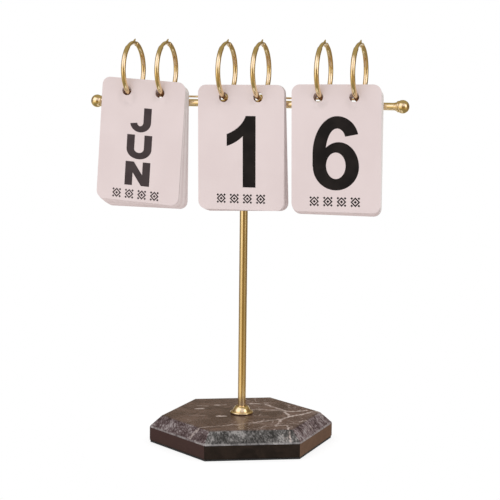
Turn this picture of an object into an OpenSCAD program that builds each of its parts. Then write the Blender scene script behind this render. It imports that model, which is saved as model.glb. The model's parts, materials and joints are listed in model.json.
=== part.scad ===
// Perpetual desk calendar: a hexagonal stone foot, a slim post and a crossbar
// that carries three pairs of hinged rings. Month, tens and units cards hang on
// the rings and flip over the top to the back.
// X runs along the crossbar, Y to the back, Z up. The origin is the middle of
// the underside.

/* [Base] */
// Stone slab across its flats
base_flats = 100; // [80:1:130]
// Height of the slab's upright sides
base_side = 9; // [5:0.5:20]
// Height and width of the 45 degree chamfer above them
base_chamfer = 7; // [2:0.5:15]
// Turn of the slab under the crossbar
base_turn = 26; // [0:1:60]
// Width of the eased edges of the slab
base_arris = 0.6; // [0.2:0.1:1.5]
// Hole through the slab for the post's threaded end
base_hole_d = 6; // [5.5:0.1:9]
// Recess for the nut, under the slab
recess_d = 18; // [15:0.5:30]
// Depth of that recess
recess_depth = 7; // [6.5:0.5:9]
// Thickness of the soft pad under the slab
pad_thick = 1; // [0.5:0.1:3]
// How far the pad stays inside the slab's outline
pad_margin = 0.5; // [0.5:0.5:8]

/* [Post] */
// Height of the crossbar's axis above the table
bar_height = 210; // [150:1:300]
// Diameter of the post
post_d = 5; // [4.5:0.1:8]
// Rim of the foot flange
flange_d = 14.5; // [12:0.5:24]
// Height of that rim
flange_rim = 1.6; // [1:0.1:3]
// Ball-shaped collar of the foot flange
flange_collar_d = 11.2; // [9.5:0.1:11.5]
// Height of the flange with its collar
flange_height = 4.8; // [4:0.1:5.5]
// Outside of the washer under the slab
washer_d = 12; // [10:0.5:14]
// Thickness of that washer
washer_thick = 1; // [0.5:0.1:1.5]
// Nut across its flats
nut_flats = 8; // [7.5:0.5:10]
// Height of the nut
nut_height = 4; // [3:0.5:4.5]
// Threaded end that stands out of the nut
post_tail = 1; // [0.5:0.1:1.2]

/* [Crossbar] */
// Diameter of the crossbar
bar_d = 4.5; // [4:0.1:6]
// Distance between the middles of the two ball ends
ball_span = 196; // [190:1:260]
// Diameter of a ball end
ball_d = 8; // [7.5:0.1:14]
// Diameter of the bead at its neck
bead_d = 6.8; // [6.2:0.1:7.2]
// Width of that bead
bead_w = 2; // [1:0.1:3]
// How far the middle of the bead lies inside the ball
bead_inset = 1.4; // [1:0.1:1.8]
// Length of the flare from the crossbar to the bead
flare_length = 1.6; // [0.8:0.1:4]
// Threaded stud of a ball end
stud_d = 2.5; // [2:0.1:3]
// Length of that stud
stud_length = 8; // [4:0.5:15]

/* [Rings] */
// Inside diameter of a ring
ring_in_d = 30; // [28:1:36]
// Wire of a ring
wire_d = 3; // [2.5:0.1:3.4]
// Distance between the two rings of a pair
ring_pitch = 22; // [14:0.5:32]
// Distance from pair to pair
pack_pitch = 61.4; // [58:0.2:63]
// Shift of the row of rings along the crossbar
row_shift = -1; // [-3:0.1:3]
// Depth to which a ring's foot is let onto the crossbar
foot_sink = 0.25; // [0.1:0.05:0.5]
// Place of the hinge behind the foot, round the ring
hinge_angle = 10; // [9:0.5:15]
// Rod that pins the six hinges
hinge_rod_d = 1.2; // [0.8:0.1:1.4]
// How far that rod stands out past the end rings
hinge_rod_over = 2; // [0.5:0.5:5]
// Eye of a hinge
eye_d = 3.8; // [3.2:0.1:4.2]
// Shoulder of the front half, before the top
shoulder_angle = 36; // [26:1:44]
// Length of the taper from the full wire to the tongue
taper_length = 2.4; // [1.5:0.1:3]
// Tongue of the front half
tongue_d = 2.3; // [1.8:0.1:2.6]
// End of the tongue, behind the top
tongue_angle = 10.5; // [8:0.5:14]
// Root of the pointed thumb tip, which leans along the tongue to its end
tip_d = 2.1; // [1.4:0.1:2.2]
// Reach of the tip past the wire
tip_reach = 0.8; // [0.3:0.1:1.5]
// Lean of the tip along the tongue
tip_lean = 50; // [0:5:60]
// Latch pin in the tongue's end
pin_d = 0.9; // [0.6:0.1:1.2]
// Length of the latch pin outside the tongue
pin_length = 0.9; // [0.5:0.1:1.1]

/* [Cards] */
// Width of a card
card_w = 55; // [44:1:56]
// Height of a card
card_h = 76; // [50:1:100]
// Thickness of a card
card_thick = 0.5; // [0.3:0.05:0.5]
// Corner radius of a card
card_corner = 5; // [2:0.5:9]
// Hole in a card
card_hole_d = 6; // [5.7:0.1:7.5]
// From a card's top edge to the middle of its holes
card_hole_drop = 7.5; // [6:0.5:12]
// Step from card to card among the months and units
leaf_step = 0.56; // [0.52:0.01:0.58]
// Step from card to card among the tens
tens_step = 1.4; // [0.6:0.1:1.5]
// Sideways play that each pack has taken up on its rings
pack_slip = [-0.5, 0.5, -0.8]; // [-1:0.1:1]
// Lean of the front card of each pack
front_lean = [-3.6, 0.6, 0.8]; // [-4:0.1:4]
// Lean of the rearmost card of each pack
rear_lean = [-0.4, 2.2, 0.2]; // [-2.5:0.1:2.5]

/* [Clearances] */
// Bores over the post, the hinge rod and the studs
bore_clear = 0.1; // [0.04:0.02:0.2]
// Play of the washer round the post
washer_clear = 0.3; // [0.1:0.1:0.8]
// Air between the ends of two ring halves
hinge_clear = 0.15; // [0.1:0.05:0.3]
// Air between the front card and the stack behind it
leaf_gap = 0.3; // [0.2:0.05:0.5]
// Air between the rearmost card and the post
post_gap = 0.3; // [0.2:0.05:0.6]
// Air between a ring's wire and the hole that hangs on it
hang_clear = 0.35; // [0.3:0.05:0.4]

/* [Hidden] */
$fn = 64;
months = ["jun", "jul", "aug", "sep", "oct", "nov", "dec", "jan", "feb", "mar", "apr", "may"];
tens = ["1", "2", "3", "0"];
units = ["6", "7", "8", "9", "0", "1", "2", "3", "4", "5"];
packs = [months, tens, units];
pack_names = ["month_card_", "tens_card_", "unit_card_"];
steps = [leaf_step, tens_step, leaf_step];
rings = 2 * len(packs);
// Length by which a cut runs past a face
hair = 0.01;
// Length by which a joined end stays inside the piece that it joins
tuck = 0.1;

slab_bottom = pad_thick;
slab_top = slab_bottom + base_side + base_chamfer;
recess_top = slab_bottom + recess_depth;
post_bottom = recess_top - washer_thick - nut_height - post_tail;

ring_r = (ring_in_d + wire_d) / 2;
ring_height = bar_height + (bar_d + wire_d) / 2 - foot_sink + ring_r;
hinge_y = ring_r * sin(hinge_angle);
hinge_z = ring_height - ring_r * cos(hinge_angle);
taper = 2 * asin(taper_length / 2 / ring_r);
tip_end_d = tip_d / 3;
tip_rise = wire_d / 2 + tip_reach;
tip_angle = tongue_angle - asin((tip_end_d / 2 + tip_rise * tan(tip_lean)) / ring_r);
back_angle = tongue_angle + asin((wire_d / 2 + hinge_clear) / ring_r);

bar_end = (ball_span - ball_d - bead_w) / 2 + bead_inset - flare_length;
finial_root = bar_end - ball_span / 2;

// Middle of a pack along the crossbar, and of ring i, counted from 1 at the left
function pack_x(p) = row_shift + (p - (len(packs) - 1) / 2) * pack_pitch;
function ring_x(i) = pack_x(floor((i - 1) / 2)) + ((i - 1) % 2 - 0.5) * ring_pitch;

// Card k of a pack, counted from 0 at the rear: its depth, its lean, and the
// height of its holes, which hang on the inside of the wire
function card_last(p) = len(packs[p]) - 1;
function card_y(p, k) = -(max(post_d, bar_d) / 2 + post_gap + card_thick / 2 + k * steps[p])
    - (k == card_last(p) ? leaf_gap + card_thick - steps[p] : 0);
function card_lean(p, k) = rear_lean[p] + (front_lean[p] - rear_lean[p]) * k / card_last(p);
function wire_low(y) = sqrt(pow(ring_r + wire_d / 2, 2) - y * y);
function wire_high(y) = sqrt(pow(ring_r - wire_d / 2, 2) - y * y);
function hang(p, y) =
    let (side = pack_slip[p] / ((card_hole_d - wire_d) / 2))
    ((card_hole_d - wire_low(y) + wire_high(y)) / 2 - hang_clear) * sqrt(1 - side * side);
function hole_z(p, k) =
    let (y = card_y(p, k))
    ring_height - (wire_low(y) + wire_high(y)) / 2 - hang(p, y)
        + ring_pitch / 2 * abs(sin(card_lean(p, k)));

// ---- foot ----

module hexagon(flats) {
    circle(d = flats / cos(30), $fn = 6);
}

// Half of a cross-section: an upright side of the given reach, and a slope that
// runs in over the given width, with every edge eased
function slab_half(reach, slope, ease) =
    let (top = base_side + base_chamfer, run = ease * cos(45))
    [
        [reach - ease, 0], [reach, ease], [reach, base_side - ease], [reach - run, base_side + run],
        [reach - slope + run, top - run], [reach - slope - ease, top]
    ];

// A long bar with that cross-section
module slab_bar(turn, half) {
    rotate([90, 0, turn])
        linear_extrude(2 * base_flats, center = true)
            polygon(concat(half, [for (i = [len(half) - 1 : -1 : 0]) [-half[i][0], half[i][1]]]));
}

module base_slab() {
    corner_ease = base_arris / (2 * tan(60));
    flats = slab_half(base_flats / 2, base_chamfer, base_arris);
    corners = slab_half(base_flats / 2 / cos(30) - corner_ease, base_chamfer / cos(30), corner_ease);
    color([0.30, 0.26, 0.23])
    translate([0, 0, slab_bottom])
    difference() {
        rotate([0, 0, base_turn + 30])
        intersection() {
            slab_bar(0, flats);
            slab_bar(60, flats);
            slab_bar(120, flats);
            slab_bar(30, corners);
            slab_bar(90, corners);
            slab_bar(150, corners);
        }
        translate([0, 0, -hair]) cylinder(d = recess_d, h = recess_depth + hair);
        cylinder(d = base_hole_d, h = base_side + base_chamfer + hair);
    }
}

module base_pad() {
    color([0.12, 0.12, 0.12])
    rotate([0, 0, base_turn])
        linear_extrude(pad_thick) hexagon(base_flats - 2 * pad_margin);
}

// ---- post ----

module bead(middle_r, section_r) {
    rotate_extrude() translate([middle_r, 0]) circle(r = section_r);
}

module foot_flange() {
    rim_r = flange_rim / 2;
    color([0.78, 0.65, 0.42])
    translate([0, 0, slab_top])
    difference() {
        union() {
            cylinder(d = flange_d - flange_rim, h = flange_rim);
            translate([0, 0, rim_r]) bead(flange_d / 2 - rim_r, rim_r);
            intersection() {
                translate([0, 0, rim_r]) sphere(d = flange_collar_d);
                cylinder(d = flange_d - flange_rim, h = flange_height);
            }
        }
        translate([0, 0, -hair]) cylinder(d = post_d + bore_clear, h = flange_height + 2 * hair);
    }
}

// The post runs through the flange and the slab to its nut, and its top is
// coped to the crossbar
module post() {
    color([0.78, 0.65, 0.42])
    difference() {
        translate([0, 0, post_bottom]) cylinder(d = post_d, h = bar_height - post_bottom);
        bar_solid(2 * post_d);
    }
}

module post_washer() {
    color([0.72, 0.72, 0.70])
    translate([0, 0, recess_top - washer_thick])
    difference() {
        cylinder(d = washer_d, h = washer_thick);
        translate([0, 0, -hair]) cylinder(d = post_d + washer_clear, h = washer_thick + 2 * hair);
    }
}

module post_nut() {
    color([0.72, 0.72, 0.70])
    translate([0, 0, recess_top - washer_thick - nut_height])
    difference() {
        linear_extrude(nut_height) hexagon(nut_flats);
        translate([0, 0, -hair]) cylinder(d = post_d + bore_clear, h = nut_height + 2 * hair);
    }
}

// ---- crossbar ----

module bar_solid(length) {
    translate([0, 0, bar_height]) rotate([0, 90, 0])
        cylinder(d = bar_d, h = length, center = true);
}

module crossbar() {
    bore_d = stud_d + bore_clear;
    bore_length = stud_length + 2 * bore_clear;
    color([0.78, 0.65, 0.42])
    difference() {
        bar_solid(2 * bar_end);
        for (side = [-1, 1])
            translate([side * (bar_end - bore_length / 2 + hair), 0, bar_height]) rotate([0, 90, 0])
                cylinder(d = bore_d, h = bore_length + 2 * hair, center = true);
    }
}

// Ball, bead, flare and stud on the Z axis, with the ball's middle at 0
module ball_end() {
    bead_z = finial_root + flare_length + bead_w / 2;
    sphere(d = ball_d);
    translate([0, 0, bead_z]) bead((bead_d - bead_w) / 2, bead_w / 2);
    translate([0, 0, bead_z - bead_w / 2]) cylinder(d = bead_d - bead_w, h = -bead_z + bead_w / 2);
    translate([0, 0, finial_root])
        cylinder(d1 = bar_d, d2 = bead_d - bead_w / 2, h = flare_length + bead_w / 2);
    translate([0, 0, finial_root - stud_length]) cylinder(d = stud_d, h = stud_length + hair);
}

module ball_end_right() {
    color([0.78, 0.65, 0.42])
    translate([ball_span / 2, 0, bar_height]) rotate([0, 90, 0]) ball_end();
}

module ball_end_left() {
    color([0.78, 0.65, 0.42])
    translate([-ball_span / 2, 0, bar_height]) rotate([0, -90, 0]) ball_end();
}

module hinge_rod() {
    left = ring_x(1) - wire_d / 2 - hinge_rod_over;
    right = ring_x(rings) + wire_d / 2 + hinge_rod_over;
    color([0.78, 0.65, 0.42])
    translate([left, hinge_y, hinge_z]) rotate([0, 90, 0])
        cylinder(d = hinge_rod_d, h = right - left);
}

// ---- rings ----
// A ring is drawn flat round Z, with 0 degrees at its foot and its back at 90,
// and then stood upright across the crossbar.

module stand_ring(i) {
    translate([ring_x(i), 0, ring_height]) rotate([90, 0, 90]) rotate([0, 0, -90]) children();
}

module at_angle(angle) {
    rotate([0, 0, angle]) translate([ring_r, 0, 0]) children();
}

module arc(from, to, middle_r, section_d) {
    rotate([0, 0, from]) rotate_extrude(angle = to - from)
        translate([middle_r, 0]) circle(d = section_d);
}

// Rounded end of the wire, with its poles along the wire
module wire_nose() {
    rotate([90, 0, 0]) sphere(d = wire_d);
}

// Half of the hinge: an eye on one side of the ring's middle plane
module hinge_eye(side) {
    leaf = (wire_d - hinge_clear) / 2;
    at_angle(hinge_angle) translate([0, 0, side * (hinge_clear + leaf) / 2])
        cylinder(d = eye_d, h = leaf, center = true);
}

// What a half gives up for the other half's eye, and for the rod
module hinge_room(side) {
    at_angle(hinge_angle) {
        translate([0, 0, side * wire_d / 2])
            cylinder(d = eye_d + 2 * hinge_clear, h = wire_d + hinge_clear, center = true);
        cylinder(d = hinge_rod_d + bore_clear, h = 2 * wire_d, center = true);
    }
}

// Latch pin or its socket, level with the ring's foot so that it draws straight out
module latch_pin(diameter, from, to) {
    rotate([0, 0, 180 - tongue_angle]) translate([ring_r, 0, 0]) rotate([0, 0, tongue_angle])
        rotate([90, 0, 0]) translate([0, 0, from]) cylinder(d = diameter, h = to - from);
}

// Front half: foot on the crossbar, hinge eye, shoulder, tongue, thumb tip and latch pin
module ring_front(i) {
    color([0.80, 0.66, 0.42])
    difference() {
        stand_ring(i) difference() {
            union() {
                arc(shoulder_angle - 180, hinge_angle, ring_r, wire_d);
                at_angle(shoulder_angle - 180) wire_nose();
                at_angle(shoulder_angle - 180) rotate([0, 0, -taper / 2]) rotate([90, 0, 0])
                    cylinder(d1 = wire_d - tuck, d2 = tongue_d - tuck, h = taper_length);
                arc(-180 - tongue_angle, shoulder_angle - 180, ring_r, tongue_d);
                at_angle(-180 - tip_angle) rotate([0, 0, -tip_lean]) rotate([0, 90, 0])
                    cylinder(d1 = tip_d, d2 = tip_end_d, h = tip_rise / cos(tip_lean));
                latch_pin(pin_d, -pin_d, pin_length);
                hinge_eye(-1);
            }
            hinge_room(1);
        }
        bar_solid(ball_span);
    }
}

// Back half: hinge eye, full wire, and a round end with the socket for the latch pin
module ring_back(i) {
    color([0.80, 0.66, 0.42])
    stand_ring(i) difference() {
        union() {
            arc(hinge_angle, 180 - back_angle, ring_r, wire_d);
            at_angle(180 - back_angle) wire_nose();
            hinge_eye(1);
        }
        hinge_room(-1);
        latch_pin(pin_d + 2 * hinge_clear, -pin_d, pin_length + 2 * hinge_clear);
    }
}

// ---- cards ----

// Outline of a card with its hole line on the X axis
module card_outline() {
    low = card_hole_drop - card_h;
    difference() {
        union() {
            translate([-card_w / 2, low + card_corner])
                square([card_w, card_h - 2 * card_corner]);
            translate([card_corner - card_w / 2, low]) square([card_w - 2 * card_corner, card_h]);
            for (x = [-1, 1], y = [low + card_corner, card_hole_drop - card_corner])
                translate([x * (card_w / 2 - card_corner), y]) circle(r = card_corner);
        }
        for (x = [-1, 1]) translate([x * ring_pitch / 2, 0]) circle(d = card_hole_d);
    }
}

module card(p, k) {
    color([0.89, 0.83, 0.82])
    translate([pack_x(p) + pack_slip[p], card_y(p, k), hole_z(p, k)])
        rotate([0, -card_lean(p, k), 0]) rotate([90, 0, 0])
            linear_extrude(card_thick, center = true) card_outline();
}

base_slab();
base_pad();
foot_flange();
post();
post_washer();
post_nut();
crossbar();
ball_end_left();
ball_end_right();
hinge_rod();
for (i = [1 : rings]) {
    ring_front(i);
    ring_back(i);
}
for (p = [0 : len(packs) - 1]) for (j = [0 : card_last(p)])
    card(p, card_last(p) - j);
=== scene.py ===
"""Looks of a perpetual desk calendar: a dark marble foot, satin gold post, crossbar and book rings,
and three packs of printed cards. Lengths are in millimetres until mm() turns them into metres.
"""
import json

import bmesh
import bpy
import numpy as np
from mathutils import Matrix, Vector


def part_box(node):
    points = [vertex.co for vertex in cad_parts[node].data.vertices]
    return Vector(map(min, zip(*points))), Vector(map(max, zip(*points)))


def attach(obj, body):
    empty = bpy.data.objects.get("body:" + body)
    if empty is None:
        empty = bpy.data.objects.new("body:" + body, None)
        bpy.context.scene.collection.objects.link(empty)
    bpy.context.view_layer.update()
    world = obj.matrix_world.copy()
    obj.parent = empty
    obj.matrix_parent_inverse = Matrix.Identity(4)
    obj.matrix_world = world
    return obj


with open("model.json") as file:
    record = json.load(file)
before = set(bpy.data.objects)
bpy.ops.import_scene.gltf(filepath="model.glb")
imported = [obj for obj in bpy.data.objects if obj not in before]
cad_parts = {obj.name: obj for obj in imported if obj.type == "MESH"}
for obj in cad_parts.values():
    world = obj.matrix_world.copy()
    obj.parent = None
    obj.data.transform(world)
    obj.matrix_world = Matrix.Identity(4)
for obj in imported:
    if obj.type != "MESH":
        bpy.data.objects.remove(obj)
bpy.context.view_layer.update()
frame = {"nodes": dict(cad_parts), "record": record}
nodes = frame["nodes"]


def mm(value):
    """Millimetres to metres, for a number or an array."""
    return np.asarray(value, float) * 0.001


# ---- camera -------------------------------------------------------------------------------

CAMERA_AT = (287.8, -875.0, 235.6)
CAMERA_YAW, CAMERA_PITCH, CAMERA_ROLL = 0.3215, -0.1249, 0.0102
CAMERA_LENS, SENSOR = 108.17, 36.0
CAMERA_SHIFT = 0.0243


def set_camera():
    """A camera turned by yaw about Z, pitched down and rolled a little."""
    data = bpy.data.cameras.new("camera")
    data.lens = CAMERA_LENS
    data.sensor_width = SENSOR
    data.shift_x = CAMERA_SHIFT
    data.clip_start = 0.01
    data.clip_end = 20.0
    camera = bpy.data.objects.new("camera", data)
    turn = Matrix.Rotation(CAMERA_YAW, 4, "Z")
    tilt = Matrix.Rotation(np.pi / 2 + CAMERA_PITCH, 4, "X")
    roll = Matrix.Rotation(CAMERA_ROLL, 4, "Z")
    camera.matrix_world = Matrix.Translation(mm(CAMERA_AT)) @ turn @ tilt @ roll
    bpy.context.scene.collection.objects.link(camera)
    bpy.context.scene.camera = camera


# ---- node helpers -------------------------------------------------------------------------


class Shader:
    """Short calls for placing and linking nodes in one material, world or group.

    All but add() and put() return the socket that holds the result.
    """

    def __init__(self, tree):
        self.tree = tree

    def add(self, kind, settings=None, **inputs):
        """One node, with its own settings, and with its inputs as put() takes them."""
        node = self.tree.nodes.new(kind)
        for name, value in (settings or {}).items():
            setattr(node, name, value)
        for name, value in inputs.items():
            self.put(node, name, value)
        return node

    def put(self, node, name, value):
        """Sets or links one input, named by its label with _ for a space, or by n and its number."""
        if name[0] == "n" and name[1:].isdigit():
            socket = node.inputs[int(name[1:])]
        else:
            socket = node.inputs[name.replace("_", " ")]
        if isinstance(value, bpy.types.NodeSocket):
            self.tree.links.new(value, socket)
        else:
            socket.default_value = value

    def math(self, operation, a, b=0.0, clamp=False):
        """Works out one number from one or two."""
        node = self.add("ShaderNodeMath", {"operation": operation, "use_clamp": clamp}, n0=a, n1=b)
        return node.outputs[0]

    def mix(self, factor, a, b):
        """Mixes two colours."""
        node = self.add("ShaderNodeMix", {"data_type": "RGBA"}, n0=factor, n6=a, n7=b)
        return node.outputs[2]

    def span(self, value, low, high, to_low=0.0, to_high=1.0):
        """Maps low..high to to_low..to_high, smoothly and clamped."""
        node = self.add(
            "ShaderNodeMapRange", {"interpolation_type": "SMOOTHSTEP"},
            n0=value, n1=low, n2=high, n3=to_low, n4=to_high,
        )
        return node.outputs[0]

    def noise(self, at, scale, detail=4.0, roughness=0.55, distortion=0.0):
        """Smooth noise around one half, with about scale lumps to a metre."""
        node = self.add(
            "ShaderNodeTexNoise",
            Vector=at, Scale=scale, Detail=detail, Roughness=roughness, Distortion=distortion,
        )
        return node.outputs["Fac"]

    def object_coordinates(self):
        """The place of a point in metres from the origin."""
        return self.add("ShaderNodeTexCoord").outputs["Object"]

    def axes(self, vector):
        """The X, Y and Z of a vector."""
        parts = self.add("ShaderNodeSeparateXYZ", Vector=vector).outputs
        return parts["X"], parts["Y"], parts["Z"]

    def surface_axes(self):
        """The X, Y and Z of the surface's own direction."""
        return self.axes(self.add("ShaderNodeTexCoord").outputs["Normal"])

    def vector(self, operation, a, b):
        """Works out one vector from two."""
        return self.add("ShaderNodeVectorMath", {"operation": operation}, n0=a, n1=b).outputs[0]

    def scaled(self, vector, factor):
        """A vector or a colour times a number."""
        node = self.add("ShaderNodeVectorMath", {"operation": "SCALE"}, n0=vector, Scale=factor)
        return node.outputs[0]

    def length(self, vector):
        """How long a vector is."""
        node = self.add("ShaderNodeVectorMath", {"operation": "LENGTH"}, n0=vector)
        return node.outputs["Value"]

    def dot(self, a, b):
        """The dot product of two vectors."""
        node = self.add("ShaderNodeVectorMath", {"operation": "DOT_PRODUCT"}, n0=a, n1=b)
        return node.outputs["Value"]

    def attribute(self, name):
        """A number that the mesh keeps for each of its points."""
        return self.add("ShaderNodeAttribute", {"attribute_name": name}).outputs["Fac"]

    def bump(self, height, strength, distance):
        """The surface's direction with relief of a height from 0 to 1, which stands for distance."""
        node = self.add("ShaderNodeBump", Height=height, Strength=strength, Distance=distance)
        return node.outputs[0]


def new_material(name):
    """A material with its Principled shader: (material, shader helper, principled node)."""
    material = bpy.data.materials.new(name)
    material.use_nodes = True
    tree = material.node_tree
    return material, Shader(tree), tree.nodes["Principled BSDF"]


def new_group(name, inputs, outputs):
    """An empty node group: (group, shader helper, group input node, group output node).

    inputs and outputs give the kind of each socket by its label.
    """
    group = bpy.data.node_groups.new(name, "ShaderNodeTree")
    for label, kind in inputs.items():
        group.interface.new_socket(label, in_out="INPUT", socket_type="NodeSocket" + kind)
    for label, kind in outputs.items():
        group.interface.new_socket(label, in_out="OUTPUT", socket_type="NodeSocket" + kind)
    s = Shader(group)
    return group, s, s.add("NodeGroupInput"), s.add("NodeGroupOutput")


def use_group(s, group, **inputs):
    """The outputs of a node group that is placed with its own inputs."""
    return s.add("ShaderNodeGroup", {"node_tree": group}, **inputs).outputs


# ---- materials ----------------------------------------------------------------------------


def handling_group():
    """Fine scratches and soft cloudy patches that handling leaves on a smooth finish."""
    group, s, given, out = new_group(
        "handling",
        {"Vector": "Vector", "Cloud Scale": "Float", "Grain Scale": "Float"},
        {"Cloud": "Float", "Grain": "Float"},
    )
    at = given.outputs["Vector"]
    cloud = s.noise(at, given.outputs["Cloud Scale"], detail=3.0, roughness=0.5)
    grain = s.noise(at, given.outputs["Grain Scale"], detail=2.0, roughness=0.6)
    s.put(out, "Cloud", s.span(cloud, 0.3, 0.7))
    s.put(out, "Grain", grain)
    return group


def gold_material(handling):
    """Satin gold plate: warm, a little deeper and duller in patches, with a fine grain."""
    material, s, shader = new_material("satin_gold")
    at = s.object_coordinates()
    marks = use_group(s, handling, Vector=at, Cloud_Scale=90.0, Grain_Scale=3200.0)
    colour = s.mix(marks["Cloud"], (0.88, 0.70, 0.42, 1.0), (0.83, 0.64, 0.36, 1.0))
    s.put(shader, "Base_Color", colour)
    s.put(shader, "Roughness", s.span(marks["Cloud"], 0.0, 1.0, 0.14, 0.20))
    s.put(shader, "Metallic", 1.0)
    s.put(shader, "Normal", s.bump(marks["Grain"], 0.007, 0.0002))
    return material


def vein_group():
    """A vein along a straight line from Start to End: 1 on the line, 0 at Width and beyond.

    The nearest point of the line is Start + t * (End - Start), with t the share of the way
    along it, held between 0 and 1.
    """
    group, s, given, out = new_group(
        "vein",
        {"Vector": "Vector", "Start": "Vector", "End": "Vector", "Width": "Float"},
        {"Mask": "Float"},
    )
    whole = s.vector("SUBTRACT", given.outputs["End"], given.outputs["Start"])
    part = s.vector("SUBTRACT", given.outputs["Vector"], given.outputs["Start"])
    share = s.math("DIVIDE", s.dot(part, whole), s.dot(whole, whole), clamp=True)
    away = s.length(s.vector("SUBTRACT", part, s.scaled(whole, share)))
    s.put(out, "Mask", s.span(s.math("DIVIDE", away, given.outputs["Width"]), 1.0, 0.25))
    return group


# Routes of the white veins seen from above, as points in millimetres, each with the vein's width in
# millimetres and its strength
VEINS = (
    (((-4, 27), (1, 28), (6, 29.5), (10, 26), (13.5, 23), (19.5, 18.5), (26, 15)), 1.5, 0.75),
    (((3, 11), (9, 13.6), (18.5, 15.4), (24, 14.5)), 1.3, 0.65),
    (((24, 14), (26, 15), (31.6, 17.5), (36, 21.8)), 1.5, 0.9),
    (((24, 14), (25.5, 10), (29, 5.6), (30.3, 1.2)), 1.3, 1.0),
    (((46, 22), (40, 19), (36.8, 10.8), (30.3, 1.2), (28.3, -7.4)), 1.5, 1.0),
    (((28.3, -7.4), (23.8, -10.5), (18.6, -16.6), (12.4, -24)), 1.3, 0.7),
    (((12.4, -24), (5.6, -29.8), (-1.3, -35.9), (-11.3, -43.7)), 1.3, 0.45),
    (((28.3, -7.4), (29.1, -15.4), (30, -23.5)), 1.1, 0.8),
    (((29.7, -22.5), (35.5, -20.5)), 1.3, 0.5),
    (((36, -20.5), (39, -28.5), (41, -32), (42.5, -34)), 0.9, 0.9),
    (((-10, -42.6), (-12, -44), (-14.5, -45.5), (-17, -48)), 1.4, 0.6),
    (((21, -32), (24.7, -28), (27.7, -25.4)), 0.9, 0.35),
    (((36.8, -33.3), (38.8, -33.6), (41.3, -30.5)), 0.6, 0.5),
    (((39, -35.5), (40.5, -32.5)), 0.6, 0.5),
    (((40.6, -9.6), (42.5, -3.4), (44.8, -4), (48.3, -6.8)), 0.9, 0.7),
    (((43.1, -10.9), (46.7, -10.2)), 0.8, 0.6),
    (((-11, -13), (-8, -11)), 2.4, 1.0),
    (((-31, 1), (-27, 3)), 1.8, 0.8),
    (((-23, 15), (-17, 18)), 1.4, 0.7),
    (((-33, 9.6), (-27, 10.5)), 1.5, 0.35),
    (((-29, -17), (-19, -14)), 1.0, 0.3),
)


def on_slab(x, y):
    """The point of the slab's upper surface, in metres, above a point in millimetres."""
    found, place, _, _ = nodes["base_slab"].ray_cast((*mm((x, y)), 1.0), (0.0, 0.0, -1.0))
    if not found:
        raise ValueError("no slab at %g, %g" % (x, y))
    return place


def white_veins(s, vein, bent):
    """1 on the veins, as strong as each one is, 0 elsewhere."""
    veins = None
    for points, width, strength in VEINS:
        for start, end in zip(points[:-1], points[1:]):
            line_mask = use_group(
                s, vein, Vector=bent, Start=on_slab(*start), End=on_slab(*end), Width=mm(width),
            )["Mask"]
            mask = s.math("MULTIPLY", line_mask, strength)
            veins = mask if veins is None else s.math("MAXIMUM", veins, mask)
    return veins


def crack_threads(s, at, bent, lively):
    """Fine pale threads along the edges of broken cells, in the livelier regions."""
    crack = s.add(
        "ShaderNodeTexVoronoi", {"feature": "DISTANCE_TO_EDGE"},
        Vector=bent, Scale=95.0, Randomness=1.0,
    ).outputs["Distance"]
    threads = s.math("MULTIPLY", s.span(crack, 0.045, 0.01), s.span(lively, 0.46, 0.66))
    gaps = s.span(s.noise(at, 340.0, detail=3.0, roughness=0.6), 0.42, 0.58)
    return s.math("MULTIPLY", threads, gaps)


def polished_marble(s, at, across, cloud, lively):
    """Colour of the top: clouded brown with pale flecks, a little paler to the right."""
    colour = s.mix(s.span(cloud, 0.34, 0.66), (0.056, 0.027, 0.020, 1.0), (0.150, 0.089, 0.070, 1.0))
    fleck = s.span(s.noise(at, 1100.0, roughness=0.75), 0.5, 0.74)
    fleck = s.math("MULTIPLY", fleck, s.span(lively, 0.3, 0.6, 0.3, 0.75))
    colour = s.mix(fleck, colour, (0.31, 0.22, 0.19, 1.0))
    return s.mix(s.span(across, 0.015, 0.045, 0.0, 0.3), colour, (0.21, 0.135, 0.12, 1.0))


def honed_chamfers_painted_light(s, at, grain, to_left, to_right):
    """Colour of the chamfers: mottled in three tones, with painted light by facing: grey in front,
    warmer to the left, warmer and paler to the right.
    """
    patch = s.noise(at, 130.0, roughness=0.6, distortion=0.5)
    mottle = s.math("ADD", s.math("MULTIPLY", patch, 0.5), s.math("MULTIPLY", grain, 0.5))
    warm = s.math("MAXIMUM", to_left, s.math("MULTIPLY", to_right, 0.85))
    deep = s.mix(warm, (0.036, 0.034, 0.033, 1.0), (0.048, 0.029, 0.032, 1.0))
    middle = s.mix(warm, (0.102, 0.095, 0.093, 1.0), (0.112, 0.077, 0.081, 1.0))
    middle = s.mix(to_right, middle, (0.178, 0.130, 0.132, 1.0))
    high = s.mix(warm, (0.33, 0.31, 0.30, 1.0), (0.36, 0.31, 0.31, 1.0))
    colour = s.mix(s.span(mottle, 0.42, 0.50), deep, middle)
    return s.mix(s.span(mottle, 0.50, 0.61), colour, high)


def sawn_sides_painted_shade_and_light(s, cloud, to_left, to_right):
    """Colour of the upright sides, painted shade and light by facing: nearly black in front, browner at
    the left and brownest at the right.
    """
    colour = s.mix(to_left, (0.020, 0.015, 0.012, 1.0), (0.066, 0.038, 0.034, 1.0))
    colour = s.mix(to_right, colour, (0.165, 0.098, 0.065, 1.0))
    patches = s.math("MULTIPLY", s.span(cloud, 0.4, 0.65), 0.25)
    return s.mix(patches, colour, (0.070, 0.045, 0.034, 1.0))


# Share of the clear polish on the slab's top and on its chamfers: its sides have none
TOP_POLISH, CHAMFER_POLISH, POLISH_ROUGHNESS = 0.75, 0.4, 0.22


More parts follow.
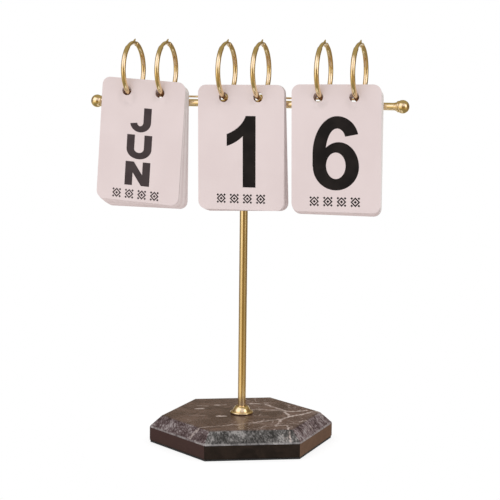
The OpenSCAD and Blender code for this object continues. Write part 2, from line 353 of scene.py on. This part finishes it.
def marble_material(vein):
    """Dark brown marble: polished top with white veins, paler honed chamfers, darker sawn sides.

    The slope of the surface tells the top, the chamfers, the sides and the pale line on the arris
    between chamfer and side apart. The sides are painted darker as shade, and faces turned to the
    left and the right are browner and paler as painted light. All of its gloss is a clear coat,
    because a coat's share may change over the surface.
    """
    material, s, shader = new_material("dark_marble")
    at = s.object_coordinates()
    across, _, height = s.axes(at)
    sideways, _, level = s.surface_axes()
    top = s.span(level, 0.85, 0.97)
    side = s.span(level, 0.28, 0.15)
    arris = s.math("MULTIPLY", s.span(level, 0.25, 0.33), s.span(level, 0.6, 0.5))
    # Painted light and shade: faces turned to the left and to the right get their own colours below.
    to_left = s.span(sideways, -0.1, -0.35)
    to_right = s.span(sideways, 0.45, 0.65)

    wander = s.add("ShaderNodeTexNoise", Vector=at, Scale=260.0, Detail=5.0, Roughness=0.68)
    drift = s.scaled(s.vector("SUBTRACT", wander.outputs["Color"], (0.5, 0.5, 0.5)), 0.005)
    bent = s.vector("ADD", at, drift)
    lean = s.add("ShaderNodeCombineXYZ", X=s.math("MULTIPLY", height, 0.45)).outputs[0]
    fall = s.add("ShaderNodeMapping", Vector=s.vector("ADD", at, lean), Scale=(1.0, 0.6, 0.4))
    grain = s.noise(fall.outputs[0], 1150.0, detail=3.0, roughness=0.7, distortion=0.3)
    cloud = s.noise(at, 62.0, detail=7.0, roughness=0.66, distortion=0.8)
    region = s.noise(at, 38.0, detail=3.0, roughness=0.6)
    lively = s.math("ADD", region, s.math("MULTIPLY", across, 3.2))

    broken = s.span(s.noise(at, 420.0, roughness=0.7), 0.36, 0.58, 0.3, 1.0)
    hazy = s.math("MAXIMUM", top, s.span(grain, 0.38, 0.6, 0.3, 1.0))
    veins = s.math("MULTIPLY", s.math("MULTIPLY", white_veins(s, vein, bent), broken), hazy)
    threads = s.math("MULTIPLY", crack_threads(s, at, bent, lively), s.math("MULTIPLY", top, 0.6))

    honed = honed_chamfers_painted_light(s, at, grain, to_left, to_right)
    colour = s.mix(top, honed, polished_marble(s, at, across, cloud, lively))
    colour = s.mix(threads, colour, (0.56, 0.45, 0.41, 1.0))
    colour = s.mix(veins, colour, (0.72, 0.60, 0.55, 1.0))
    colour = s.mix(side, colour, sawn_sides_painted_shade_and_light(s, cloud, to_left, to_right))
    # Painted highlight: a pale line along the arris between chamfer and side, where its rounding would
    # catch the light, broken up by noise.
    arris_highlight = s.math("MULTIPLY", arris, s.span(s.noise(at, 300.0, detail=3.0), 0.35, 0.6, 0.15, 0.5))
    colour = s.mix(arris_highlight, colour, (0.44, 0.41, 0.40, 1.0))
    polish = s.math(
        "MAXIMUM", s.math("MULTIPLY", top, TOP_POLISH), s.span(side, 0.0, 1.0, CHAMFER_POLISH, 0.0)
    )
    s.put(shader, "Base_Color", colour)
    s.put(shader, "Specular_IOR_Level", 0.0)
    s.put(shader, "Coat_Weight", polish)
    s.put(shader, "Coat_Roughness", POLISH_ROUGHNESS)
    s.put(shader, "Normal", s.bump(grain, 0.05, 0.0002))
    return material


def pad_material(handling):
    """Soft closed-cell foam sheet, nearly black."""
    material, s, shader = new_material("foam_pad")
    marks = use_group(s, handling, Vector=s.object_coordinates(), Cloud_Scale=200.0, Grain_Scale=1800.0)
    colour = s.mix(marks["Grain"], (0.012, 0.012, 0.012, 1.0), (0.035, 0.034, 0.033, 1.0))
    s.put(shader, "Base_Color", colour)
    s.put(shader, "Roughness", 0.9)
    s.put(shader, "Normal", s.bump(marks["Grain"], 0.5, 0.0004))
    return material


def zinc_material(handling):
    """Bright zinc plate of the washer and the nut."""
    material, s, shader = new_material("zinc_plate")
    marks = use_group(s, handling, Vector=s.object_coordinates(), Cloud_Scale=300.0, Grain_Scale=4000.0)
    colour = s.mix(marks["Cloud"], (0.62, 0.62, 0.60, 1.0), (0.48, 0.49, 0.50, 1.0))
    s.put(shader, "Base_Color", colour)
    s.put(shader, "Roughness", 0.38)
    s.put(shader, "Metallic", 1.0)
    return material


def ring_place(number):
    """The middle of a ring along the crossbar, in metres."""
    low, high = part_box("ring_front_%d" % number)
    return (low[0] + high[0]) / 2


# The rings along the crossbar, and the height of the holes that hang on them, in metres
RING_PLACES = [ring_place(number) for number in range(1, 7)]
HOLE_HEIGHT = 0.2135


def mesh_points(mesh):
    """A mesh's points as an (n, 3) array."""
    co = np.empty(len(mesh.vertices) * 3)
    mesh.vertices.foreach_get("co", co)
    return co.reshape(-1, 3)


def mark_card(node, tone):
    """Gives a card's points their place across its thickness, 0 in front, and the card one tone."""
    mesh = nodes[node].data
    depth = mesh_points(mesh)[:, 1]
    across = (depth - depth.min()) / (depth.max() - depth.min())
    for name, values in (("across", across), ("tone", np.full(len(depth), tone))):
        attribute = mesh.attributes.new(name, "FLOAT", "POINT")
        attribute.data.foreach_set("value", values)


def card_material(handling):
    """Matt coated board, pale and slightly pink, with painted shade: brown hole walls and faint darker
    patches round the holes.

    Its cut edge carries painted light and shade: mostly paler than the face, paler or deeper from card
    to card, with a fine dark line along both faces.
    """
    material, s, shader = new_material("card_board")
    at = s.object_coordinates()
    marks = use_group(s, handling, Vector=at, Cloud_Scale=35.0, Grain_Scale=1500.0)
    across, _, height = s.axes(at)
    _, facing, _ = s.surface_axes()
    edge = s.span(s.math("ABSOLUTE", facing), 0.8, 0.4)
    beside = None
    for place in RING_PLACES:
        away = s.math("ABSOLUTE", s.math("SUBTRACT", across, place))
        beside = away if beside is None else s.math("MINIMUM", beside, away)
    above = s.math("ABSOLUTE", s.math("SUBTRACT", height, HOLE_HEIGHT))
    near = s.math("SQRT", s.math("ADD", s.math("POWER", beside, 2.0), s.math("POWER", above, 2.0)))

    colour = s.mix(marks["Cloud"], (0.825, 0.70, 0.69, 1.0), (0.79, 0.665, 0.655, 1.0))
    # Painted shade: faint darker patches round the holes, where the rings shade the card.
    painted_hole_shade = s.math("MULTIPLY", s.span(near, 0.008, 0.003), s.span(s.noise(at, 150.0), 0.4, 0.62))
    colour = s.mix(s.math("MULTIPLY", painted_hole_shade, 0.18), colour, (0.36, 0.30, 0.28, 1.0))
    # Painted light and shade on the cut edges: mostly paler than the face, tones rising and falling from
    # card to card for lit and shaded strips, and painted shade lines along both faces where cards meet.
    edge_light_and_shade = s.mix(s.attribute("tone"), (0.76, 0.68, 0.665, 1.0), (1.0, 0.96, 0.94, 1.0))
    from_middle = s.math("ABSOLUTE", s.math("SUBTRACT", s.attribute("across"), 0.5))
    edge_light_and_shade = s.mix(s.span(from_middle, 0.40, 0.5, 0.0, 0.35), edge_light_and_shade, (0.30, 0.22, 0.21, 1.0))
    colour = s.mix(edge, colour, edge_light_and_shade)
    # Painted shade: the hole walls turn brown, standing in for the shade deep inside the stacked holes.
    hole_wall_shade = s.math("MULTIPLY", edge, s.span(near, 0.0062, 0.0052))
    colour = s.mix(hole_wall_shade, colour, (0.50, 0.30, 0.23, 1.0))
    s.put(shader, "Base_Color", colour)
    s.put(shader, "Roughness", 0.55)
    s.put(shader, "Normal", s.bump(marks["Grain"], 0.08, 0.0001))
    return material


def ink_material(handling, name, deep, thin):
    """Printing ink, a little uneven: deep and thin are its two colours."""
    material, s, shader = new_material(name)
    marks = use_group(s, handling, Vector=s.object_coordinates(), Cloud_Scale=120.0, Grain_Scale=2500.0)
    s.put(shader, "Base_Color", s.mix(marks["Cloud"], deep, thin))
    s.put(shader, "Roughness", 0.6)
    s.put(shader, "Specular_IOR_Level", 0.15)
    return material


# ---- printing -----------------------------------------------------------------------------
# A glyph is a list of strokes, and a stroke is the strip between two edges. An edge is a curve
# over 0..1, given as an (n, 2) array of points in millimetres from the baseline's middle.

STROKE_STEPS = 24
FIGURE_HEIGHT, LETTER_HEIGHT = 43.4, 14.8


def arc(x, y, rx, ry, start, end):
    """Part of an ellipse round (x, y), from start to end degrees."""
    t = np.radians(np.linspace(start, end, STROKE_STEPS + 1))
    return np.stack([x + rx * np.cos(t), y + ry * np.sin(t)], 1)


def line(x0, y0, x1, y1):
    """A straight edge from (x0, y0) to (x1, y1)."""
    t = np.linspace(0.0, 1.0, STROKE_STEPS + 1)[:, None]
    return (1 - t) * np.array([x0, y0]) + t * np.array([x1, y1])


def bend(x0, y0, xm, ym, x1, y1):
    """A parabola from (x0, y0) to (x1, y1) that starts and ends towards (xm, ym)."""
    t = np.linspace(0.0, 1.0, STROKE_STEPS + 1)[:, None]
    start, middle, end = np.array([x0, y0]), np.array([xm, ym]), np.array([x1, y1])
    return (1 - t) ** 2 * start + 2 * t * (1 - t) * middle + t**2 * end


def bar(left, low, width, height):
    """An upright rectangle."""
    return line(left, low, left, low + height), line(left + width, low, left + width, low + height)


def slant(x_low, low, x_high, high, width):
    """A slanted bar whose ends are cut level."""
    return line(x_low, low, x_high, high), line(x_low + width, low, x_high + width, high)


def bowl(x, y, rx, ry, side, cap, start=0.0, end=360.0):
    """Part of an oval ring, side thick at left and right and cap thick at top and bottom."""
    return arc(x, y, rx, ry, start, end), arc(x, y, rx - side, ry - cap, start, end)


def turned(glyph, height):
    """A glyph turned by half a turn about the middle of its height."""
    return [(np.array([0.0, height]) - a, np.array([0.0, height]) - b) for a, b in glyph]


def figure_strokes():
    """The ten figures, bold and plain, FIGURE_HEIGHT tall."""
    tall = FIGURE_HEIGHT
    six = [
        (arc(0.2, 13.4, 14.2, 14.1, 180, 360), arc(0.2, 14.0, 6.0, 7.9, 180, 360)),
        (arc(2.0, 13.4, 12.4, 14.7, 0, 180), arc(0.2, 14.0, 6.0, 7.9, 0, 180)),
        bar(-14.2, 13.4, 8.1, 7.2),
        (arc(0.9, 20.6, 15.1, 22.9, 90, 180), arc(0.7, 20.6, 6.9, 15.5, 90, 180)),
        (arc(0.9, 30.1, 13.1, 13.4, 90, 12), arc(0.7, 30.1, 5.2, 6.1, 90, 12)),
    ]
    return {
        "0": [bowl(0.0, 21.7, 14.2, 22.2, 8.3, 6.4)],
        "1": [bar(1.3, 0.0, 8.2, 32.0), bar(3.1, 31.0, 6.4, 12.4),
              (bend(-9.0, 32.3, 0.4, 35.9, 3.2, tall), bend(-9.0, 25.0, -2.4, 27.2, 1.6, 31.4)),
              (line(1.6, 31.4, 3.2, tall), line(3.6, 31.4, 3.6, tall))],
        "2": [bowl(0.1, 29.8, 14.0, 14.1, 8.2, 6.6, 190, 0),
              (bend(14.1, 29.8, 13.6, 20.0, -3.4, 7.4), bend(5.9, 29.8, 5.4, 23.8, -14.0, 6.0)),
              bar(-14.2, 0.0, 28.2, 7.4)],
        "3": [bowl(-0.4, 31.6, 12.9, 12.2, 8.1, 6.2, 175, -90),
              bowl(-0.2, 12.9, 14.1, 13.4, 8.3, 6.4, 90, -175),
              bar(-5.0, 19.6, 5.0, 6.4)],
        "4": [bar(2.2, 0.0, 8.0, tall), bar(-15.0, 9.4, 29.6, 6.8),
              (line(-15.0, 14.0, 3.4, tall), line(-7.4, 14.0, 3.4, 31.0))],
        "5": [bar(-10.2, 35.9, 22.8, 7.1), slant(-13.0, 18.6, -10.2, 43.0, 7.2),
              bowl(0.0, 14.2, 14.2, 14.8, 8.3, 6.7, 150, -170)],
        "6": six,
        "7": [bar(-13.9, 35.9, 28.0, 7.1),
              (bend(14.1, 36.6, 4.6, 22.0, 2.6, 0.0), bend(5.6, 36.6, -4.4, 20.0, -5.9, 0.0))],
        "8": [bowl(0.0, 32.0, 12.8, 12.0, 8.0, 6.0), bowl(0.0, 13.0, 14.2, 13.6, 8.3, 6.3)],
        "9": turned(six, tall),
    }


def letter_strokes():
    """The capitals that the months need, wide and heavy, LETTER_HEIGHT tall."""
    tall, stem = LETTER_HEIGHT, 5.1
    upright = bar(-7.8, 0.0, stem, tall)
    return {
        "A": [(line(-9.3, 0.0, -2.9, tall), line(-4.1, 0.0, 0.9, tall)),
              (line(9.3, 0.0, 2.9, tall), line(4.1, 0.0, -0.9, tall)), bar(-5.4, 2.9, 10.8, 3.0)],
        "B": [upright, bar(-3.0, 11.5, 4.4, 3.3), bar(-3.0, 6.2, 4.8, 2.9), bar(-3.0, 0.0, 4.6, 3.3),
              bowl(1.3, 10.6, 6.1, 4.2, 4.8, 3.3, -90, 90), bowl(1.5, 4.5, 6.9, 4.5, 5.0, 3.3, -90, 90)],
        "C": [bowl(0.3, 7.4, 8.8, 7.7, 5.1, 3.6, 32, 328)],
        "D": [upright, bar(-3.0, 11.4, 3.4, 3.4), bar(-3.0, 0.0, 3.4, 3.4),
              bowl(0.3, 7.4, 8.0, 7.4, 5.1, 3.4, -90, 90)],
        "E": [upright, bar(-3.0, 11.4, 9.8, 3.4), bar(-3.0, 5.9, 8.6, 3.1), bar(-3.0, 0.0, 10.2, 3.4)],
        "F": [upright, bar(-3.0, 11.4, 9.8, 3.4), bar(-3.0, 5.6, 8.2, 3.2)],
        "G": [bowl(0.0, 7.4, 8.9, 7.7, 5.1, 3.6, 32, 330), bar(3.6, 1.6, 5.0, 6.4),
              bar(0.7, 5.2, 7.9, 2.8)],
        "J": [bar(1.9, 5.9, stem, 8.9),
              (arc(0.05, 5.9, 6.95, 6.2, 0, -171), arc(-0.15, 5.9, 2.05, 2.4, 0, -171))],
        "L": [upright, bar(-3.0, 0.0, 10.0, 3.5)],
        "M": [bar(-9.6, 0.0, 4.6, tall), bar(5.0, 0.0, 4.6, tall),
              slant(-2.7, 0.0, -9.6, tall, 5.4), slant(-2.7, 0.0, 4.2, tall, 5.4)],
        "N": [bar(-8.3, 0.0, stem, tall), bar(3.2, 0.0, stem, tall),
              slant(2.8, 0.0, -8.3, tall, 5.5)],
        "O": [bowl(0.0, 7.4, 9.0, 7.7, 5.1, 3.6)],
        "P": [upright, bar(-3.0, 11.4, 4.4, 3.4), bar(-3.0, 4.9, 4.4, 3.3),
              bowl(1.3, 9.85, 6.6, 4.95, 4.9, 3.35, -90, 90)],
        "R": [upright, bar(-3.0, 11.4, 4.4, 3.4), bar(-3.0, 5.4, 4.4, 3.2),
              bowl(1.3, 10.1, 6.6, 4.7, 4.9, 3.3, -90, 90), slant(3.3, 0.0, -0.8, 6.2, 5.5)],
        "S": [bowl(0.0, 10.75, 7.7, 4.35, 4.9, 3.2, 15, 262),
              bowl(0.1, 4.35, 8.1, 4.65, 5.0, 3.4, 82, -165),
              (line(-1.4, 6.4, 1.4, 5.6), line(-1.4, 9.7, 1.4, 9.0))],
        "T": [bar(-8.2, 11.3, 16.4, 3.5), bar(-2.6, 0.0, 5.2, 11.8)],
        "U": [bar(-8.35, 6.2, 5.15, 8.6), bar(3.2, 6.2, 5.15, 8.6),
              bowl(0.0, 6.2, 8.35, 6.5, 5.15, 4.0, 180, 360)],
        "V": [(line(-9.2, tall, -2.8, 0.0), line(-3.9, tall, 0.8, 0.0)),
              (line(9.2, tall, 2.8, 0.0), line(3.9, tall, -0.8, 0.0))],
        "Y": [bar(-2.6, 0.0, 5.2, 6.8), (line(-9.4, tall, -2.6, 5.6), line(-3.6, tall, 2.6, 5.6)),
              (line(9.4, tall, 2.6, 5.6), line(3.6, tall, -2.6, 5.6))],
    }


def lozenge(x, y, reach):
    """A closed edge: the four corners of a lozenge round (x, y)."""
    turn = np.radians([0, 90, 180, 270, 360])
    return np.stack([x + reach * np.cos(turn), y + reach * np.sin(turn)], 1)


def ornament_strokes():
    """A lozenge round a dot, with a dot outside each of its sides, about 6 mm across.

    A dot is a small lozenge whose inner edge is shrunk to nearly a point.
    """
    point = 0.01
    strokes = [(lozenge(0, 0, 2.95), lozenge(0, 0, 1.85)), (lozenge(0, 0, 0.95), lozenge(0, 0, point))]
    for x, y in ((-2.2, -2.2), (2.2, -2.2), (-2.2, 2.2), (2.2, 2.2)):
        strokes.append((lozenge(x, y, 0.8), lozenge(x, y, point)))
    return strokes


FIGURES = figure_strokes()
LETTERS = letter_strokes()

# How far ink stands above a card's face and reaches into it, and how much higher each stroke of a
# print stands than the one before, so that no two tops lie in one plane
INK_ABOVE, INK_BELOW, INK_STEP = 0.018, 0.010, 0.001


def strip_block(edge_a, edge_b, top):
    """Closed strip between two edges: four lines of points along it, joined round its section.

    Point 4 i + j is point i of line j. A strip whose edges come back to their start has no ends.
    """
    loops = [(edge_a, top), (edge_b, top), (edge_b, -INK_BELOW), (edge_a, -INK_BELOW)]
    points = np.stack([np.column_stack([e, np.full(len(e), z)]) for e, z in loops], 1)
    n = len(edge_a)
    i = np.arange(n - 1)[:, None] * 4
    j = np.arange(4)[None, :]
    k = (j + 1) % 4
    sides = np.stack([i + j, i + k, i + 4 + k, i + 4 + j], -1).reshape(-1, 4)
    if not np.allclose(edge_a[0], edge_a[-1]):
        ends = np.array([[3, 2, 1, 0], [4 * n - 4, 4 * n - 3, 4 * n - 2, 4 * n - 1]])
        sides = np.vstack([sides, ends])
    return points.reshape(-1, 3), sides


def weld_and_face_outwards(mesh):
    """Merges doubles and turns every face outwards."""
    work = bmesh.new()
    work.from_mesh(mesh)
    bmesh.ops.remove_doubles(work, verts=work.verts, dist=1e-7)
    bmesh.ops.recalc_face_normals(work, faces=work.faces)
    work.to_mesh(mesh)
    work.free()


def print_mesh(name, strokes, place):
    """One mesh of all strokes, on the card's plane: place takes card points to the frame in metres."""
    points, faces, count = [], [], 0
    for i, (edge_a, edge_b) in enumerate(strokes):
        block, sides = strip_block(edge_a, edge_b, INK_ABOVE + i * INK_STEP)
        points.append(block)
        faces.append(sides + count)
        count += len(block)
    mesh = bpy.data.meshes.new(name)
    mesh.from_pydata(place(np.vstack(points)), [], np.vstack(faces).tolist())
    mesh.validate()
    piece = bpy.data.objects.new(name, mesh)
    bpy.context.scene.collection.objects.link(piece)
    weld_and_face_outwards(mesh)
    return piece


def shifted(strokes, dx, dy):
    """Strokes moved by (dx, dy)."""
    move = np.array([dx, dy])
    return [(a + move, b + move) for a, b in strokes]


# How squarely a triangle of a card's front face looks to the front, where 1 is exactly
FACING_FRONT = 0.99


def card_plane(node):
    """Where a card lies: its front face's middle, and its width and height directions in x and z.

    The middle is the face's centre of area, and the directions are the main axes of its area's
    second moments, which are exact for an outline that is the same left and right.
    """
    mesh = nodes[node].data
    mesh.calc_loop_triangles()
    tri = np.empty(len(mesh.loop_triangles) * 3, int)
    mesh.loop_triangles.foreach_get("vertices", tri)
    corner = mesh_points(mesh)[tri.reshape(-1, 3)]
    cross = np.cross(corner[:, 1] - corner[:, 0], corner[:, 2] - corner[:, 0])
    area = np.linalg.norm(cross, axis=1) / 2
    front = cross[:, 1] < -FACING_FRONT * 2 * area
    corner, area = corner[front], area[front]
    flat = corner[:, :, [0, 2]]
    middle = (flat.mean(1) * area[:, None]).sum(0) / area.sum()
    away = flat - middle
    total = away.sum(1)
    spread = (area[:, None, None] / 12) * (
        np.einsum("nki,nkj->nij", away, away) + np.einsum("ni,nj->nij", total, total)
    )
    values, vectors = np.linalg.eigh(spread.sum(0))
    up = vectors[:, np.argmax(values)]
    up = up * np.sign(up[1])
    right = np.array([up[1], -up[0]])
    return np.array([middle[0], corner[:, :, 1].min(), middle[1]]), right, up


# How far the middle of a card's area lies below the middle of its outline, because its two holes
# are near the top
CARD_W, CARD_H, CORNER_R, HOLE_D, HOLE_DROP = 55.0, 76.0, 5.0, 6.0, 7.5
HOLE_AREA = 2 * np.pi * HOLE_D**2 / 4
CARD_AREA = CARD_W * CARD_H - (4 - np.pi) * CORNER_R**2 - HOLE_AREA
AREA_DROP = HOLE_AREA * (CARD_H / 2 - HOLE_DROP) / CARD_AREA


def card_placer(node):
    """Takes (right, up, out) in millimetres from the middle of a card's front to the frame."""
    middle, right, up = card_plane(node)

    def place(points):
        flat = points[:, :1] * right + (points[:, 1:2] + AREA_DROP) * up
        x = middle[0] + mm(flat[:, 0])
        z = middle[2] + mm(flat[:, 1])
        y = middle[1] - mm(points[:, 2])
        return np.column_stack([x, y, z])

    return place


# Places on a card, from the middle of its outline: baselines, shifts to the right, and the middle
# of each pack's row of ornaments
FIGURE_BASE = -24.2
FIGURE_SHIFTS = {"tens": 0.0, "unit": -0.2}
LETTER_TOP_BASE, LETTER_PITCH = 5.6, 16.75
LETTER_SHIFTS = (-0.6, -0.6, -0.7)
ORNAMENT_ROWS = {"month": (-1.2, -33.4), "tens": (0.1, -31.2), "unit": (-0.6, -31.7)}
ORNAMENT_PITCH, ORNAMENT_COUNT = 8.45, 4


def ornament_row(shift, height):
    """Ornaments side by side, at even steps round the row's middle."""
    strokes = []
    for i in range(ORNAMENT_COUNT):
        x = shift + (i - (ORNAMENT_COUNT - 1) / 2) * ORNAMENT_PITCH
        strokes += shifted(ornament_strokes(), x, height)
    return strokes


def print_card(node, body, inks):
    """Month letters below one another, or one figure, with a row of ornaments below."""
    kind, _, mark = node.partition("_card_")
    strokes = ornament_row(*ORNAMENT_ROWS[kind])
    if kind == "month":
        for i, letter in enumerate(mark.upper()):
            base = LETTER_TOP_BASE - i * LETTER_PITCH
            strokes += shifted(LETTERS[letter], LETTER_SHIFTS[i], base)
    else:
        strokes += shifted(FIGURES[mark], FIGURE_SHIFTS[kind], FIGURE_BASE)
    piece = print_mesh("print_" + kind + "_" + mark, strokes, card_placer(node))
    piece.data.materials.append(inks[kind])
    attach(piece, body)


# ---- studio -------------------------------------------------------------------------------

# Half the floor's side, how far from its middle it stays the same, and its height, in metres
FLOOR_REACH, FLOOR_FADE, FLOOR_Z = 0.10, 0.07, -0.00005
# Under the object the floor glows at FLOOR_SHINE, and FLOOR_SHADE, its own colour, makes up the rest
# of the white and takes the shade. At its rim it only glows, at 1, and is black itself. FLOOR_BOUNCE
# is its colour for the light that it throws onto the object.
FLOOR_SHINE, FLOOR_SHADE = 0.78, (0.30, 0.30, 0.30, 1.0)
FLOOR_RIM, FLOOR_BOUNCE = (0.0, 0.0, 0.0, 1.0), (0.86, 0.86, 0.86, 1.0)


def ray_masks(s):
    """1 for rays from the camera, and 1 for those from a reflection or a transmission."""
    path = s.add("ShaderNodeLightPath").outputs
    mirrored = s.math("MAXIMUM", path["Is Glossy Ray"], path["Is Transmission Ray"])
    return path["Is Camera Ray"], mirrored


def studio_floor():
    """A pale table top: plain white to the eye, on which the object's own shade still shows.

    It lies a hair below the object and is clear from below, so that the underside can be seen.
    """
    mesh = bpy.data.meshes.new("floor")
    reach = FLOOR_REACH
    corners = [(-reach, -reach, FLOOR_Z), (reach, -reach, FLOOR_Z),
               (reach, reach, FLOOR_Z), (-reach, reach, FLOOR_Z)]
    mesh.from_pydata(corners, [], [(0, 1, 2, 3)])
    floor = bpy.data.objects.new("floor", mesh)
    bpy.context.scene.collection.objects.link(floor)
    material, s, shader = new_material("pale_floor")
    seen = s.math("MAXIMUM", *ray_masks(s))
    inner = s.span(s.length(s.object_coordinates()), FLOOR_REACH, FLOOR_FADE)
    shade = s.mix(inner, FLOOR_RIM, FLOOR_SHADE)
    s.put(shader, "Base_Color", s.mix(seen, FLOOR_BOUNCE, shade))
    s.put(shader, "Roughness", 0.9)
    s.put(shader, "Specular_IOR_Level", 0.0)
    s.put(shader, "Emission_Color", (1.0, 1.0, 1.0, 1.0))
    shine = s.span(inner, 0.0, 1.0, 1.0, FLOOR_SHINE)
    s.put(shader, "Emission_Strength", s.math("MULTIPLY", seen, shine))
    below = s.add("ShaderNodeNewGeometry").outputs["Backfacing"]
    clear = s.add("ShaderNodeBsdfTransparent").outputs[0]
    one_sided = s.add("ShaderNodeMixShader", n0=below, n1=shader.outputs[0], n2=clear)
    s.put(material.node_tree.nodes["Material Output"], "Surface", one_sided.outputs[0])
    mesh.materials.append(material)


# Colours of the studio round the object, where 1 is the white of the backdrop. AMBIENT lights dull
# surfaces, BACKDROP is also what the camera sees, and the rest shows in reflections only.
AMBIENT, BACKDROP = (0.77, 0.77, 0.77, 1.0), (1.0, 1.0, 1.0, 1.0)
SOFTBOX, CEILING = (0.85, 0.83, 1.03, 1.0), (0.40, 0.35, 0.20, 1.0)
LEFT_SIDE, FAR_LEFT = (0.71, 0.60, 0.375, 1.0), (0.34, 0.31, 0.26, 1.0)
LENS_SIDE, RIGHT_SIDE = (0.235, 0.16, 0.055, 1.0), (0.38, 0.31, 0.18, 1.0)
BACK_SIDES = (0.19, 0.14, 0.075, 1.0)
BELOW, UNDER = (0.50, 0.44, 0.245, 1.0), (0.29, 0.26, 0.15, 1.0)
# How much brighter the room is just above the table top
TABLE_GLOW = 1.55


def studio_world():
    """A white backdrop behind, a broad softbox above the front and a dim warm room elsewhere.

    The room is darkest on the camera's side and at the back, and brighter just above the table.
    right, up, front and back are how far a direction points each way, with back as the camera
    looks.
    """
    world = bpy.data.worlds.new("studio")
    world.use_nodes = True
    s = Shader(world.node_tree)
    way = s.add("ShaderNodeTexCoord").outputs["Generated"]
    right, depth, up = s.axes(way)
    front = s.math("MULTIPLY", depth, -1.0)
    back = s.dot(way, (-np.sin(CAMERA_YAW), np.cos(CAMERA_YAW), 0.0))

    lens_side = s.span(right, -0.28, 0.02)
    room = s.mix(lens_side, LEFT_SIDE, LENS_SIDE)
    room = s.mix(s.span(right, 0.6, 0.9), room, RIGHT_SIDE)
    room = s.mix(s.span(right, -0.78, -0.93), room, FAR_LEFT)
    room = s.mix(s.span(front, 0.1, -0.15), room, BACK_SIDES)
    room = s.scaled(room, s.span(up, -0.165, -0.205, 1.0, TABLE_GLOW))
    low = s.math("ADD", up, s.math("MULTIPLY", lens_side, 0.3))
    below = s.mix(s.span(up, -0.75, -0.45), UNDER, BELOW)
    colour = s.mix(s.span(low, -0.45, -0.2), below, room)
    colour = s.mix(s.span(up, 0.3, 0.6), colour, CEILING)

    softbox = s.math("MULTIPLY", s.span(up, 0.06, 0.3), s.span(up, 0.9, 0.74))
    softbox = s.math("MULTIPLY", softbox, s.span(front, 0.12, 0.38))
    gap = s.math("MULTIPLY", s.span(s.math("ABSOLUTE", right), 0.20, 0.05), s.span(up, 0.75, 0.5))
    softbox = s.math("MULTIPLY", softbox, s.math("SUBTRACT", 1.0, s.math("MULTIPLY", gap, 0.6)))
    colour = s.mix(softbox, colour, SOFTBOX)

    sweep = s.math("MULTIPLY", s.span(back, 0.75, 0.93), s.span(up, 0.18, 0.06))
    colour = s.mix(sweep, colour, BACKDROP)
    seen, mirrored = ray_masks(s)
    colour = s.mix(mirrored, AMBIENT, colour)
    s.put(world.node_tree.nodes["Background"], "Color", s.mix(seen, colour, BACKDROP))
    bpy.context.scene.world = world


def area_lamp(name, at, towards, size, power):
    """A rectangular lamp of a size in metres and a power in watts, which the camera doesn't see."""
    data = bpy.data.lights.new(name, "AREA")
    data.shape = "RECTANGLE"
    data.size, data.size_y = size
    data.energy = power
    lamp = bpy.data.objects.new(name, data)
    direction = Vector(towards) - Vector(at)
    lamp.matrix_world = Matrix.Translation(at) @ direction.to_track_quat("-Z", "Y").to_matrix().to_4x4()
    lamp.visible_camera = False
    bpy.context.scene.collection.objects.link(lamp)


# ---- making -------------------------------------------------------------------------------

# Step from card to card of the wave in which the tones of their cut edges rise and fall
TONE_STEP = 1.3
# Where the lamps point, in metres
LAMPS_TOWARDS = (0.0, 0.0, 0.15)


def front_to_back(card):
    """Sorts cards by their pack, and then by how far back their front faces lie."""
    node, _ = card
    return node.partition("_")[0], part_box(node)[0][1]


set_camera()
handling = handling_group()
finishes = {
    "gold": gold_material(handling),
    "stone": marble_material(vein_group()),
    "pad": pad_material(handling),
    "zinc": zinc_material(handling),
    "card": card_material(handling),
}
for part in frame["record"]["subparts"]:
    for slot in nodes[part["node"]].material_slots:
        slot.material = finishes[part["material_slot"]]

black = ink_material(handling, "black_ink", (0.008, 0.006, 0.006, 1.0), (0.016, 0.012, 0.011, 1.0))
brown = ink_material(handling, "brown_ink", (0.053, 0.038, 0.040, 1.0), (0.066, 0.048, 0.050, 1.0))
inks = {"month": brown, "tens": black, "unit": black}
cards = [(node, body) for body, members in frame["record"]["behaviour"]["bodies"].items()
         for node in members if "_card_" in node]
cards.sort(key=front_to_back)
for i, (node, body) in enumerate(cards):
    mark_card(node, 0.5 + 0.5 * np.sin(i * TONE_STEP))
    print_card(node, body, inks)

studio_floor()
studio_world()
area_lamp("key", (-0.75, -1.25, 0.85), LAMPS_TOWARDS, (1.8, 2.2), 7.0)
area_lamp("fill", (1.5, -0.55, 0.6), LAMPS_TOWARDS, (0.9, 1.2), 4.0)
bpy.context.scene.view_settings.view_transform = "Standard"
